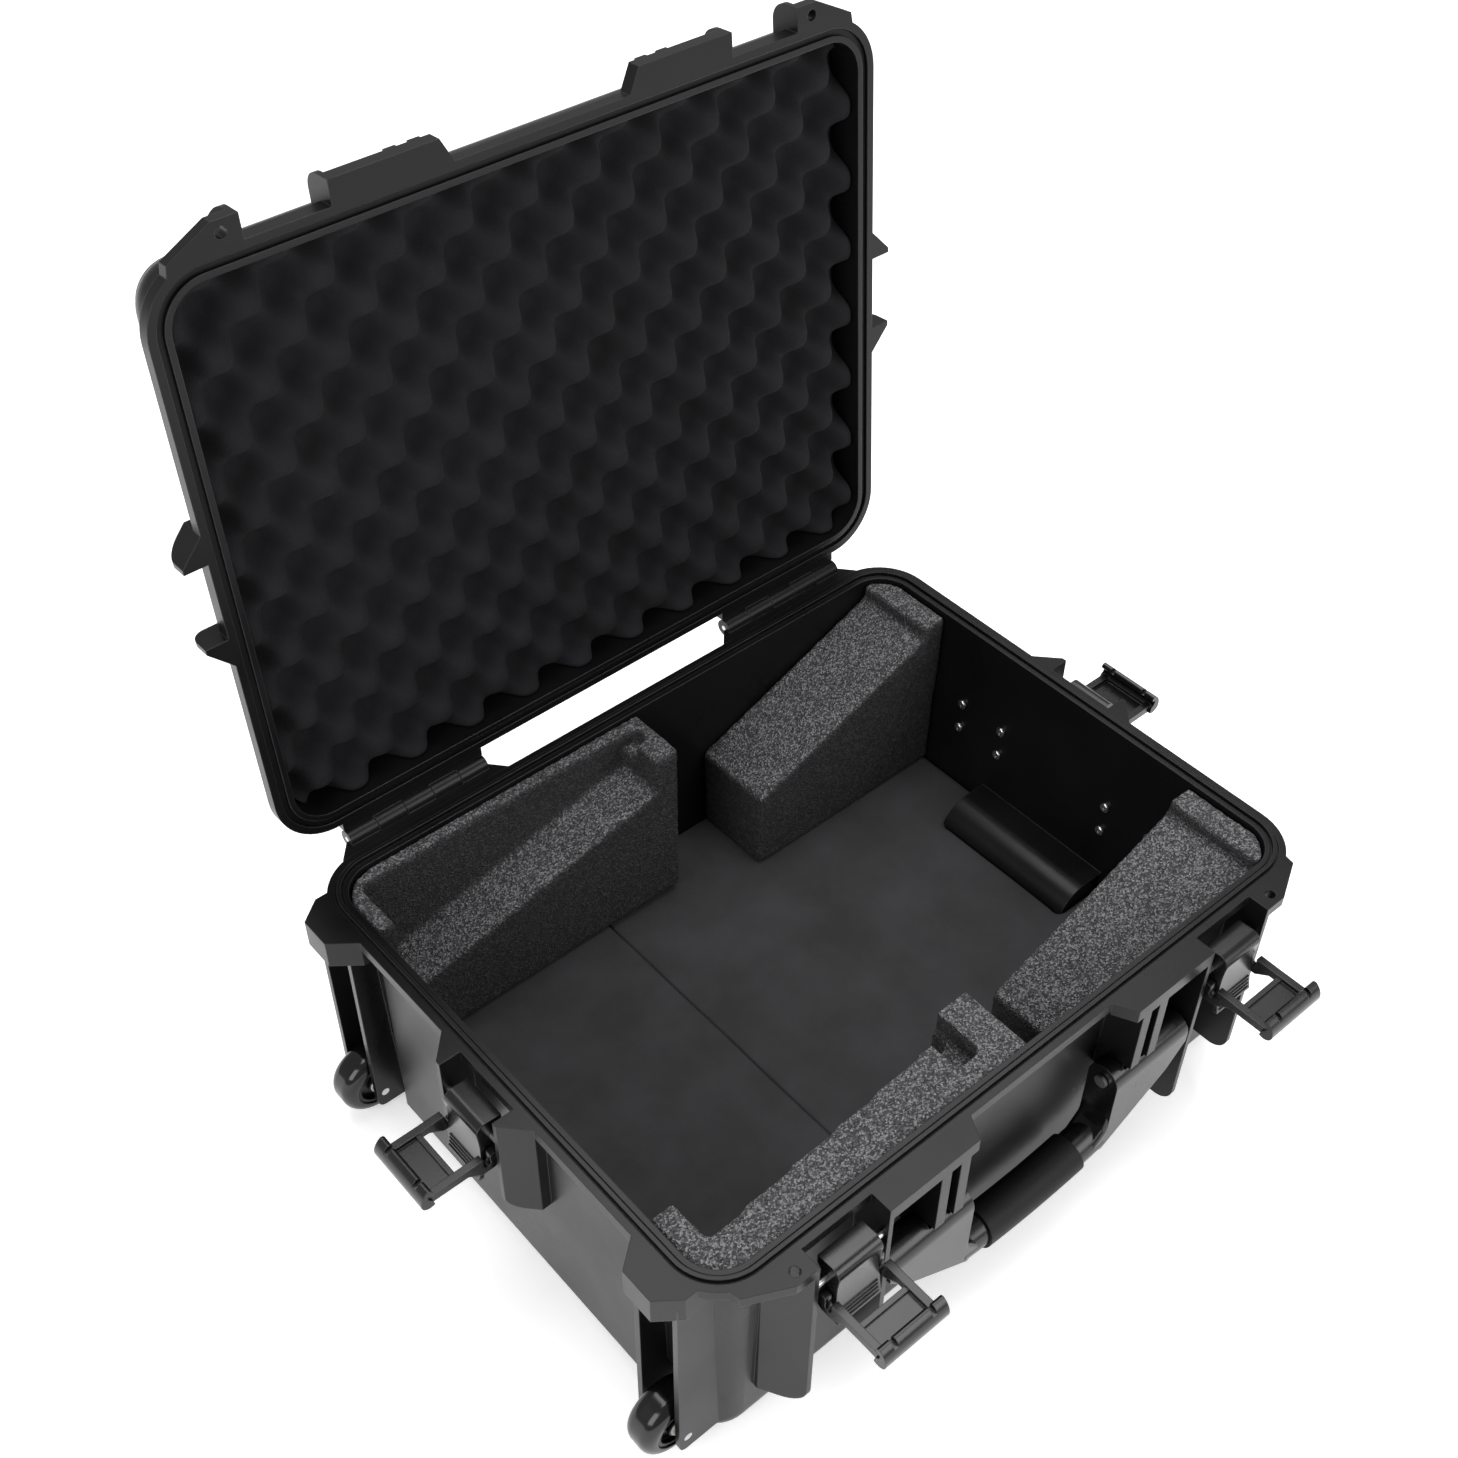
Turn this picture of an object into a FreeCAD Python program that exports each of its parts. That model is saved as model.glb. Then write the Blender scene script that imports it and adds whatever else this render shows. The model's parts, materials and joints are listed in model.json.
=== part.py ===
import FreeCAD, Part
import math
import os

# Wheeled carrying case for a drone: moulded base and hinged lid, four double-throw latches,
# a swinging carry handle, two wheels, a pull-out trolley handle and cut foam inside.
# Millimetres, +Z up. The origin is on the floor under the middle of the base.
# +X is the end with the trolley grip, -X the end with the wheels,
# -Y the front with the carry handle, +Y the hinged back.

V = FreeCAD.Vector
OUT = "parts"
os.makedirs(OUT, exist_ok=True)

# ---- driving dimensions: shells ----
RIM_L, RIM_W = 500.0, 381.4      # opening of the base at its rim, along X and Y
RIM_R = 26.0                     # corner radius of that opening
BASE_H = 198.0                   # floor to parting line
LID_H = 52.0                     # parting line to top of lid
WALL = 3.5                       # moulded wall
DRAFT = 1.5                      # degrees, walls close in away from the parting line
BOTTOM_R = 18.0                  # outer radius along the bottom edges
LID_TOP_R = 20.0                 # outer radius along the lid's top edges
FLANGE_OUT = 14.0                # flange edge outside the opening
FLANGE_T = 8.0                   # flange thickness
TONGUE_IN, TONGUE_W, TONGUE_H = 5.0, 2.6, 2.0   # sealing ridge: offset, width, height
SEAL_GROOVE_W, SEAL_GROOVE_D = 1.4, 1.4         # grooves beside the ridge
GASKET_W, GASKET_T = 4.6, 2.6    # rubber ring in the lid
SEAL_GAP = 0.4                   # ridge top to gasket when shut
OPEN_DEG = 94.6                  # lid angle in the rest pose, from shut

# ---- clearances ----
RUN = 0.06                       # radial running fit of a pin in a moving part
SLIDE = 0.3                      # radial gap of the sliding tubes
SIDE = 0.5                       # side gap of parts that swing past each other
SOFT = 0.4                       # gap between foam and a shell or another foam
PARTING = 0.2                    # gap between the two flanges when shut

# ---- hinges ----
HINGE_OFF = 27.8                 # pin axis behind the opening's back edge
HINGE_X = 166.0                  # middle of each hinge
KNUCKLE = 22.4                   # length of one knuckle
KNUCKLE_R = 6.6
HINGE_PIN_R = 2.0

# ---- latches ----
LATCH_X = 170.7                  # front latches, from the middle
RECESS = 54.0                    # gap between the two fins of a latch
FIN_OUT = 15.5                   # fins stand this far outside the flange
FIN_T = 3.6
PIVOT_U, PIVOT_Z = 11.0, -28.0   # lever pin: outside the flange edge, below the parting line
CLAW_U, CLAW_Z = 8.0, -40.0      # claw pin
LEVER_W = 34.0
LEVER_T = 3.4
LEVER_TOP, LEVER_TIP = -12.5, -64.0
RAIL_W = 5.2
CLAW_L = 60.0                    # claw pin to the outside of the hook
CLAW_T = 6.0
HOOK_W = 50.0
LATCH_PIN_R, CLAW_PIN_R = 2.0, 1.6
PIN_ROOM = 0.5                   # round the lever pin as the claw's arms pass it
LUG_H = 11.2                     # lid ledge under the hook

# ---- carry handle ----
BAY = 126.0                      # opening between the front plates
PLATE_OUT = 143.6                # outer end of a front plate
HANDLE_Y, HANDLE_Z = -209.0, -78.0   # pin axis, Z from the parting line
BOSS_R = 12.0
ARM_IN, ARM_OUT = 66.0, 137.0
GRIP_R, GRIP_DROP = 13.8, 58.0   # bar radius and its distance below the pin
HANDLE_PIN_R = 3.0
LUGS = ((77.0, 85.0), (93.0, 101.0))   # base lugs that carry each arm

# ---- wheels ----
WHEEL_X, WHEEL_Y, WHEEL_Z = -263.6, 164.4, 29.0
WHEEL_R, WHEEL_W = 26.0, 24.0
HUB_R = 17.0
AXLE_R = 3.0
WELL = 3.4                       # gap round the wheel in its well

# ---- trolley handle ----
TROLLEY_Y, TROLLEY_Z = 72.0, 16.0
TUBE_R, TUBE_T = 11.0, 1.2       # outer tube
CHANNEL_W = 176.0                # over the outer sides of the two trolley channels
CHANNEL_IN = 56.0                # half width of the full-depth floor between the channels
CHANNEL_H = 32.0
CHANNEL_LEFT = -225.0
STROKE = 330.0
GRIP_X0, GRIP_X1 = 231.0, 251.0
RECESS_W, RECESS_X, RECESS_TOP = 116.0, 206.0, 59.0   # hand room above the grip
SCREW_Y, SCREW_Z = (52.2, 93.0), (-96.0, -72.0)
BRACKET_T, BRACKET_EDGE = 2.5, 4.4   # plate thickness, plate edge beside the inner screws

# ---- foam ----
PAD_T, PAD_STEP = 12.0, 4.0
PAD_SEAM_X = -62.0
FOAM_TOP = -3.0                  # highest foam, from the parting line
BACK_BLOCK_Y = 143.0             # front face of the block along the back wall
FRONT_BLOCK_Y = -137.5           # back face of the notched block at the front wall
BLOCK_END_X = 4.0                # where both blocks end
BLOCK_LONG = 21.0                # length of the full-height end block
RAMP_HIGH, RAMP_LOW = 34.0, 89.0     # ramp's two ends, below the parting line
BACK_WALL, END_WALL = 10.0, 14.0     # thin foam walls behind and at the end of the ramp
STRIP_NARROW_Y, STRIP_WIDE_Y = -164.4, -150.4   # inner edge of the front strip at its two ends

FX, FY = RIM_L / 2 + FLANGE_OUT, RIM_W / 2 + FLANGE_OUT      # flange edge
FRONT_Y = -(FY + FIN_OUT)                                    # face of the front fins
HINGE_Y = RIM_W / 2 + HINGE_OFF
LEAN = math.tan(math.radians(DRAFT))
PI = math.pi


def save(shape, name):
    """Write one node."""
    shape.exportStep(os.path.join(OUT, name + ".step"))


def box(x0, x1, y0, y1, z0, z1):
    return Part.makeBox(x1 - x0, y1 - y0, z1 - z0, V(x0, y0, z0))


def cyl(r, h, at, axis):
    return Part.makeCylinder(r, h, V(*at), V(*axis))


def fuse(parts):
    """One solid from several overlapping ones."""
    whole = parts[0].multiFuse(parts[1:]) if len(parts) > 1 else parts[0]
    return whole.removeSplitter()


def prism(points, axis, at, depth):
    """A flat outline, given as (a, b) pairs, pushed along an axis.
    axis X takes (y, z), axis Y takes (x, z) and axis Z takes (x, y)."""
    put = {"X": lambda a, b: V(at, a, b), "Y": lambda a, b: V(a, at, b),
           "Z": lambda a, b: V(a, b, at)}[axis]
    push = {"X": V(depth, 0, 0), "Y": V(0, depth, 0), "Z": V(0, 0, depth)}[axis]
    pts = [put(a, b) for a, b in points]
    return Part.Face(Part.makePolygon(pts + pts[:1])).extrude(push)


def round_rect(a, b, r, z):
    """Wire: a rectangle of half-sizes a and b with corner radius r."""
    k = r * (1 - math.sqrt(0.5))
    edges = []
    for (px, py), (qx, qy), (mx, my), (ex, ey) in (
            ((-a + r, -b), (a - r, -b), (a - k, -b + k), (a, -b + r)),
            ((a, -b + r), (a, b - r), (a - k, b - k), (a - r, b)),
            ((a - r, b), (-a + r, b), (-a + k, b - k), (-a, b - r)),
            ((-a, b - r), (-a, -b + r), (-a + k, -b + k), (-a + r, -b))):
        edges.append(Part.makeLine(V(px, py, z), V(qx, qy, z)))
        edges.append(Part.Arc(V(qx, qy, z), V(mx, my, z), V(ex, ey, z)).toShape())
    return Part.Wire(edges)


def tub(a, b, r, z_rim, z_end, edge_r):
    """Drafted rounded block from the rim to its closed end, with that end's edges rounded."""
    s = abs(z_end - z_rim) * LEAN
    body = Part.makeLoft([round_rect(a, b, r, z_rim), round_rect(a - s, b - s, r - s, z_end)],
                         True, True)
    ends = [e for e in body.Edges if all(abs(v.Z - z_end) < 1e-6 for v in e.Vertexes)]
    return body.makeFillet(edge_r, ends) if edge_r else body


def ring(a, b, r, inner, outer, z0, z1):
    """Rounded rectangular ring between two offsets outside the opening."""
    o = Part.Face(round_rect(a + outer, b + outer, r + outer, z0)).extrude(V(0, 0, z1 - z0))
    i = Part.Face(round_rect(a + inner, b + inner, r + inner, z0)).extrude(V(0, 0, z1 - z0))
    return o.cut(i)


def both(shape, normal):
    """The shape and its mirror image through the origin."""
    return [shape, shape.mirror(V(0, 0, 0), V(*normal))]


def spin(shape, centre, axis, degrees):
    s = shape.copy()
    s.rotate(V(*centre), V(*axis), degrees)
    return s


def soften(shape, r, pick):
    """Round the edges whose middle passes the test; left sharp where the kernel can't."""
    chosen = [e for e in shape.Edges if pick(e)]
    if not chosen:
        return shape
    try:
        rounded = shape.makeFillet(r, chosen)
        return rounded if rounded.isValid() and len(rounded.Solids) == 1 else shape
    except Part.OCCError:
        return shape


# ---- places where the latches sit: name, middle of the recess, outward direction ----
LATCHES = (
    ("front_left", (-LATCH_X, -FY), (0, -1)),
    ("front_right", (LATCH_X, -FY), (0, -1)),
    ("wheel_end", (-FX, 0.0), (-1, 0)),
    ("trolley_end", (FX, 0.0), (1, 0)),
)


def place(shape, latch):
    """Move a shape drawn for a latch whose outward direction is -Y at the origin
    to its own recess, with Z measured from the parting line."""
    _, (x, y), (ox, oy) = latch
    turn = math.degrees(math.atan2(oy, ox)) + 90.0
    s = spin(shape, (0, 0, 0), (0, 0, 1), turn)
    s.translate(V(x, y, BASE_H))
    return s


def bumper(side):
    """Block on a wheel-end corner, at rim level."""
    y = side * 1.0
    pts = ((-FX + 8, y * 136), (-FX, y * 137), (-FX - 17.5, y * 151), (-FX - 17.5, y * 175),
           (-FX - 2, y * 187), (-FX + 14, y * 187))
    return prism(pts, "Z", BASE_H - 22, 22)


def fin_pair(z0, z1, round_low):
    """Two tapered fins beside an end latch, drawn with outward = -Y at the origin."""
    half, out, parts = RECESS / 2, FIN_OUT, []
    for s in (-1, 1):
        pts = ((s * half, FLANGE_OUT + 4), (s * half, -out), (s * (half + 3.5), -out),
               (s * (half + 20), 0), (s * (half + 20), FLANGE_OUT + 4))
        fin = prism(pts, "Z", z0, z1 - z0)
        end = z0 if round_low else z1
        fin = soften(fin, 9.0, lambda e: abs(e.BoundBox.YMax + out) < 1e-3
                     and abs(e.BoundBox.ZMax - end) < 1e-3 and abs(e.BoundBox.ZMin - end) < 1e-3)
        parts.append(fin)
    return parts


def front_fin(x0, x1, x_root, z0, z1, end_z):
    """Tall fin on the front: x0 is its recess face, x_root where it meets the wall."""
    pts = ((x0, -FY + FLANGE_OUT + 4), (x0, FRONT_Y), (x1, FRONT_Y), (x_root, -FY + 11),
           (x_root, -FY + FLANGE_OUT + 4))
    fin = prism(pts, "Z", z0, z1 - z0)
    return soften(fin, 14.0, lambda e: abs(e.BoundBox.YMax - FRONT_Y) < 1e-3
                  and abs(e.BoundBox.ZMax - end_z) < 1e-3 and abs(e.BoundBox.ZMin - end_z) < 1e-3)


def front_plate(z0, z1):
    """Flange plate beside the handle bay, drawn for +X."""
    pts = ((BAY / 2, -FY + 4), (BAY / 2, -FY), (BAY / 2 + 8, FRONT_Y), (PLATE_OUT, FRONT_Y),
           (PLATE_OUT, -FY + 4))
    return prism(pts, "Z", z0, z1 - z0)


def ear(z0, z1):
    """Padlock ear outside a front latch, drawn for +X, with its hole."""
    x = LATCH_X + RECESS / 2
    pts = ((x, -FY + 4), (x, FRONT_Y), (x + 17, FRONT_Y), (x + 46, -FY - 1),
           (FX - 16, -FY + 22), (x, -FY + 22))
    plate = prism(pts, "Z", z0, z1 - z0)
    return plate.cut(cyl(3.6, z1 - z0 + 2, (x + 12, -FY - 8, z0 - 1), (0, 0, 1)))


def knuckles(owner, z_leaf0, z_leaf1):
    """Hinge barrels of one shell (owner 0 = base, 1 = lid), with the web to the flange."""
    parts = []
    for side in (-1, 1):
        # the flange reaches to just short of the barrel over the whole hinge
        parts.append(box(side * HINGE_X - 2.5 * KNUCKLE, side * HINGE_X + 2.5 * KNUCKLE,
                         RIM_W / 2 + 6, HINGE_Y - KNUCKLE_R - SIDE, z_leaf0, z_leaf1))
        for i in range(5):
            if i % 2 != owner:
                continue
            x0 = side * HINGE_X + (i - 2.5) * KNUCKLE + SIDE / 2
            x1 = x0 + KNUCKLE - SIDE
            taper = 12.0 if i in (0, 4) else 0.0
            barrel = cyl(KNUCKLE_R, x1 - x0, (x0, HINGE_Y, BASE_H), (1, 0, 0))
            web = box(x0, x1, RIM_W / 2 + 6, HINGE_Y, z_leaf0, z_leaf1)
            parts += [barrel, web]
            if taper:
                out = -1 if i == 0 else 1
                edge = x0 if i == 0 else x1
                pts = ((edge, RIM_W / 2 + 6), (edge, HINGE_Y), (edge + out * taper, FY),
                       (edge + out * taper, RIM_W / 2 + 6))
                parts.append(prism(pts, "Z", z_leaf0, z_leaf1 - z_leaf0))
    return parts


def hinge_bores(r):
    return [cyl(r, 6 * KNUCKLE, (s * HINGE_X - 3 * KNUCKLE, HINGE_Y, BASE_H), (1, 0, 0))
            for s in (-1, 1)]


# ======================= base shell =======================
def base_shell():
    a, b = RIM_L / 2, RIM_W / 2
    outer = tub(a + WALL, b + WALL, RIM_R + WALL, BASE_H, 0, BOTTOM_R)
    flange = ring(a, b, RIM_R, -0.5, FLANGE_OUT, BASE_H - FLANGE_T, BASE_H)
    tongue = ring(a, b, RIM_R, TONGUE_IN, TONGUE_IN + TONGUE_W, BASE_H - 1, BASE_H + TONGUE_H)
    solids = [outer, flange, tongue]
    # latch fins, plates and ears
    for latch in LATCHES[2:]:
        solids += [place(f, latch) for f in fin_pair(-85, 0, True)]
        ledge = prism(((-RECESS / 2 - 2, FLANGE_OUT + 3), (-RECESS / 2 - 2, 0),
                       (RECESS / 2 + 2, 0), (RECESS / 2 + 2, FLANGE_OUT + 3)), "Z", -FLANGE_T, 4)
        solids.append(place(ledge, latch))
    low = 40.0
    x_in, x_out = LATCH_X - RECESS / 2, LATCH_X + RECESS / 2
    side = [front_fin(x_in, x_in - FIN_T, x_in - FIN_T, low - 4, BASE_H, low - 4),
            front_fin(x_out, x_out + FIN_T, x_out + 19, low + 4, BASE_H - 1, low + 4),
            front_plate(BASE_H - 11, BASE_H), ear(BASE_H - FLANGE_T, BASE_H)]
    pin_z = BASE_H + HANDLE_Z
    for x0, x1 in LUGS:
        side.append(box(x0, x1, FRONT_Y, -FY + 12, pin_z + 2, BASE_H - 4))
    hub_room = cyl(BOSS_R + 0.5, ARM_OUT - ARM_IN + 2, (ARM_IN - 1, HANDLE_Y, pin_z), (1, 0, 0))
    # the arms stand out level when the handle is lifted
    arm_room = box(ARM_IN - 1, ARM_OUT + 1, FRONT_Y - 40, HANDLE_Y, pin_z - 60,
                   pin_z + BOSS_R + SIDE)
    side = [s.cut(hub_room).cut(arm_room) for s in side]
    for x0, x1 in LUGS:
        lug = fuse([cyl(7.0, x1 - x0, (x0, HANDLE_Y, pin_z), (1, 0, 0)),
                    box(x0, x1, HANDLE_Y, -FY + 13, pin_z - 7, pin_z + 7)])
        side.append(lug)
    # the outer rib that takes the end of the handle pin
    side.append(box(x_in - FIN_T, x_in, HANDLE_Y - 6, -FY + 13, pin_z - 8, pin_z + 8))
    solids += [m for s in side for m in both(s, (1, 0, 0))]
    # wheel housings at the -X corners
    well_y0 = WHEEL_Y - WHEEL_W / 2 - WELL
    well_y1 = WHEEL_Y + WHEEL_W / 2 + WELL
    for s in (-1, 1):
        for y0, y1 in ((well_y0 - 4.5, well_y0), (well_y1, well_y1 + 4.5)):
            lo, hi = sorted((s * y0, s * y1))
            cheek = box(WHEEL_X - 6.5, -RIM_L / 2 + 12, lo, hi, 16, BASE_H - 12)
            cheek = soften(cheek, 6.0, lambda e: abs(e.BoundBox.XMax - WHEEL_X + 6.5) < 1e-3
                           and e.BoundBox.ZMax < 17)
            solids.append(cheek)
        solids.append(bumper(s))
    panel = box(-RIM_L / 2 - 7.0, -RIM_L / 2 + 6, -128, 128, 22, BASE_H - 4)
    solids.append(soften(panel, 5.0, lambda e: abs(e.BoundBox.XMax + RIM_L / 2 + 7.0) < 1e-3
                         and e.BoundBox.ZMax < 23))
    solids += knuckles(0, BASE_H - FLANGE_T, BASE_H - PARTING - 0.3)
    # flat pads for the trolley brackets
    for s in (-1, 1):
        lo, hi = sorted((s * (SCREW_Y[0] - 10), s * (SCREW_Y[1] + 10)))
        solids.append(box(RIM_L / 2 - 2, RIM_L / 2 + 4, lo, hi, BASE_H + SCREW_Z[0] - 10,
                          BASE_H + SCREW_Z[1] + 10))
    shell = fuse(solids)

    # inside space, with the raised floor over the trolley channels left standing
    cavity = tub(a, b, RIM_R, BASE_H, WALL + 0.5, BOTTOM_R - WALL)
    cavity = cavity.fuse(ring(a - 30, b - 30, 10, -a, 30, BASE_H - 0.01, BASE_H + 5))
    rise_w = CHANNEL_W / 2 + WALL
    stand = [box(RECESS_X - WALL, RIM_L, -rise_w, rise_w, 0, CHANNEL_H + WALL + 0.5)]
    for s in (-1, 1):
        lo, hi = sorted((s * (CHANNEL_IN - WALL), s * rise_w))
        stand.append(box(CHANNEL_LEFT - WALL, RIM_L, lo, hi, 0, CHANNEL_H + WALL + 0.5))
    bulge = box(RECESS_X - WALL, RIM_L, -RECESS_W / 2 - WALL, RECESS_W / 2 + WALL, 0,
                RECESS_TOP + WALL)
    bulge = soften(bulge, 24.0, lambda e: abs(e.BoundBox.XMax - RECESS_X + WALL) < 1e-3
                   and e.BoundBox.ZMin > RECESS_TOP)
    stand.append(bulge)
    for s in (-1, 1):
        lo, hi = sorted((s * (well_y0 - WALL), s * (well_y1 + WALL)))
        well = box(-RIM_L, WHEEL_X + WHEEL_R + WELL + WALL, lo, hi, 0,
                   WHEEL_Z + WHEEL_R + WELL + WALL)
        stand.append(soften(well, 10.0, lambda e: abs(e.BoundBox.XMin - WHEEL_X - WHEEL_R - WELL
                            - WALL) < 1e-3 and e.BoundBox.ZMin > WHEEL_Z + WHEEL_R))
    for st in stand:
        cavity = cavity.cut(st)
    shell = shell.cut(cavity)

    # outside cuts: trolley channels, hand recess, wheel wells
    channel = box(RECESS_X, RIM_L, -CHANNEL_W / 2, CHANNEL_W / 2, -5, CHANNEL_H)
    recess = box(RECESS_X, RIM_L, -RECESS_W / 2, RECESS_W / 2, -5, RECESS_TOP)
    recess = soften(recess, 20.0, lambda e: abs(e.BoundBox.XMax - RECESS_X) < 1e-3
                    and e.BoundBox.ZMin > RECESS_TOP - 1)
    cuts = [channel, recess]
    for s in (-1, 1):
        lo, hi = sorted((s * CHANNEL_IN, s * CHANNEL_W / 2))
        cuts.append(box(CHANNEL_LEFT, RIM_L, lo, hi, -5, CHANNEL_H))
        lo, hi = sorted((s * well_y0, s * well_y1))
        cuts.append(box(-RIM_L, WHEEL_X + WHEEL_R + WELL, lo, hi, -5, WHEEL_Z + WHEEL_R + WELL))
        cuts.append(box(-RIM_L, -RIM_L / 2 - WALL - 0.5, lo, hi, WHEEL_Z, BASE_H - 22))
        cuts.append(cyl(AXLE_R, WHEEL_W + 30, (WHEEL_X, s * WHEEL_Y - WHEEL_W / 2 - 15, WHEEL_Z),
                        (0, 1, 0)))
    # grooves beside the sealing ridge
    for off in (TONGUE_IN - SEAL_GROOVE_W, TONGUE_IN + TONGUE_W):
        cuts.append(ring(a, b, RIM_R, off, off + SEAL_GROOVE_W, BASE_H - SEAL_GROOVE_D, BASE_H + 1))
    # pin bores
    cuts += hinge_bores(HINGE_PIN_R)
    for latch in LATCHES:
        pin = cyl(LATCH_PIN_R, RECESS + 5, (-RECESS / 2 - 2.5, -PIVOT_U, PIVOT_Z), (1, 0, 0))
        cuts.append(place(pin, latch))
    for s in (-1, 1):
        x0, x1 = sorted((s * (ARM_IN - 4), s * (PLATE_OUT - 1.2)))
        cuts.append(cyl(HANDLE_PIN_R, x1 - x0, (x0, HANDLE_Y, pin_z), (1, 0, 0)))
        for y in SCREW_Y:
            for z in SCREW_Z:
                cuts.append(cyl(2.2, 30, (RIM_L / 2 - 12, s * y, BASE_H + z), (1, 0, 0)))
    for c in cuts:
        shell = shell.cut(c)
    return shell


# ======================= lid =======================
def open_lid(shape):
    """Swing a shape drawn on the shut lid to the rest pose."""
    return spin(shape, (0, HINGE_Y, BASE_H), (1, 0, 0), -OPEN_DEG)


def lid_fin(x0, x1, root, height):
    """Fin on the front of the lid, drawn for +X."""
    pts = ((x0, -FY + FLANGE_OUT + 3), (x0, FRONT_Y), (x1, FRONT_Y), (root, -FY + 10),
           (root, -FY + FLANGE_OUT + 3))
    z1 = BASE_H + height
    fin = prism(pts, "Z", BASE_H + PARTING, height - PARTING)
    return soften(fin, 12.0, lambda e: abs(e.BoundBox.YMax - FRONT_Y) < 1e-3
                  and abs(e.BoundBox.ZMin - z1) < 1e-3)


def lid_shell():
    a, b = RIM_L / 2, RIM_W / 2
    z0 = BASE_H + PARTING
    outer = tub(a + WALL, b + WALL, RIM_R + WALL, z0, BASE_H + LID_H, LID_TOP_R)
    flange = ring(a, b, RIM_R, -0.5, FLANGE_OUT, z0, BASE_H + FLANGE_T + 1)
    solids = [outer, flange]
    for latch in LATCHES[2:]:
        solids += [place(f, latch) for f in fin_pair(PARTING, 20, False)]
    x_in, x_out = LATCH_X - RECESS / 2, LATCH_X + RECESS / 2
    side = [lid_fin(x_in, x_in - FIN_T, x_in - FIN_T, 24),
            lid_fin(x_out, x_out + FIN_T, x_out + 17, 24),
            front_plate(z0, BASE_H + 10), ear(z0, BASE_H + FLANGE_T)]
    for x0, x1 in LUGS:
        side.append(prism(((FRONT_Y, z0), (FRONT_Y, BASE_H + 12), (-FY + FLANGE_OUT + 3, BASE_H + 26),
                           (-FY + FLANGE_OUT + 3, z0)), "X", x0, x1 - x0))
    solids += [m for s in side for m in both(s, (1, 0, 0))]
    for latch in LATCHES:
        lug = prism(((6, FLANGE_T), (0, FLANGE_T), (0, LUG_H), (4, LUG_H), (10, FLANGE_T)),
                    "X", -RECESS / 2 - 1, RECESS + 2)
        solids.append(place(lug, latch))
    solids += knuckles(1, z0 + 0.3, BASE_H + FLANGE_T)
    shell = fuse(solids)
    cavity = tub(a, b, RIM_R, z0, BASE_H + LID_H - WALL, LID_TOP_R - WALL)
    skin = ring(a - 30, b - 30, 10, -a, 30, z0 - 5, z0 + 0.01)
    shell = shell.cut(cavity).cut(skin)
    depth = TONGUE_H + SEAL_GAP + GASKET_T
    mid = TONGUE_IN + TONGUE_W / 2
    shell = shell.cut(ring(a, b, RIM_R, mid - GASKET_W / 2, mid + GASKET_W / 2, z0 - 1,
                           BASE_H + depth))
    for c in hinge_bores(HINGE_PIN_R + RUN):
        shell = shell.cut(c)
    return shell


def lid_gasket():
    mid = TONGUE_IN + TONGUE_W / 2
    z0 = BASE_H + TONGUE_H + SEAL_GAP
    return ring(RIM_L / 2, RIM_W / 2, RIM_R, mid - GASKET_W / 2, mid + GASKET_W / 2, z0,
                z0 + GASKET_T)


def lid_foam():
    z0, z1 = BASE_H + 4.0, BASE_H + LID_H - WALL - SOFT
    a, b = RIM_L / 2 - 1.8, RIM_W / 2 - 1.8
    return tub(a, b, RIM_R - 1, z0, z1, LID_TOP_R - WALL)


# ======================= latches =======================
def lever():
    """Inner lever, drawn for outward = -Y; u is the distance outside the flange edge."""
    top, tip, t = LEVER_TOP, LEVER_TIP, LEVER_T

    def p(u, z):
        return V(-LEVER_W / 2, -u, z)
    r = 7.0
    k = r * math.sqrt(0.5)
    face = Part.Arc(p(21.5, top - r), p(20.6, -42), p(24.0, tip)).toShape()
    outer_line = [Part.makeLine(p(3, top - 1), p(21.5 - r, top)),
                  Part.Arc(p(21.5 - r, top), p(21.5 - r + k, top - r + k),
                           p(21.5, top - r)).toShape(),
                  face,
                  Part.makeLine(p(24.0, tip), p(24.0 - t, tip - 0.6)),
                  Part.Arc(p(24.0 - t, tip - 0.6), p(20.6 - t, -42), p(21.5 - t, top - r)).toShape(),
                  Part.Arc(p(21.5 - t, top - r), p(21.5 - r + k - t * 0.7, top - r + k - t * 0.7),
                           p(21.5 - r, top - t)).toShape(),
                  Part.makeLine(p(21.5 - r, top - t), p(3, top - t - 1)),
                  Part.makeLine(p(3, top - t - 1), p(3, top - 1))]
    skin = Part.Face(Part.Wire(outer_line)).extrude(V(LEVER_W, 0, 0))
    cheeks = []
    for x0 in (-LEVER_W / 2, LEVER_W / 2 - 4.0):
        pts = [(-3.2, top - 2), (-19.5, top - 4), (-19.5, -48), (-11, -48), (-3.6, -42),
               (-3.6, -36), (-6.5, -32), (-6.5, -24), (-3.2, -20)]
        cheeks.append(prism(pts, "X", x0, 4.0))
    body = fuse([skin] + cheeks)
    for i in range(4):
        z = tip + 2.5 + 3.2 * i
        y = face.Curve.Center.y + math.sqrt(face.Curve.Radius ** 2 - (z - face.Curve.Center.z) ** 2)
        body = body.fuse(cyl(0.8, LEVER_W - 4, (-LEVER_W / 2 + 2, y - 0.1, z), (1, 0, 0)))
    body = body.removeSplitter()
    for u, z, r0 in ((PIVOT_U, PIVOT_Z, LATCH_PIN_R + RUN), (CLAW_U, CLAW_Z, CLAW_PIN_R)):
        body = body.cut(cyl(r0, RECESS, (-RECESS / 2, -u, z), (1, 0, 0)))
    return body


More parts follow.
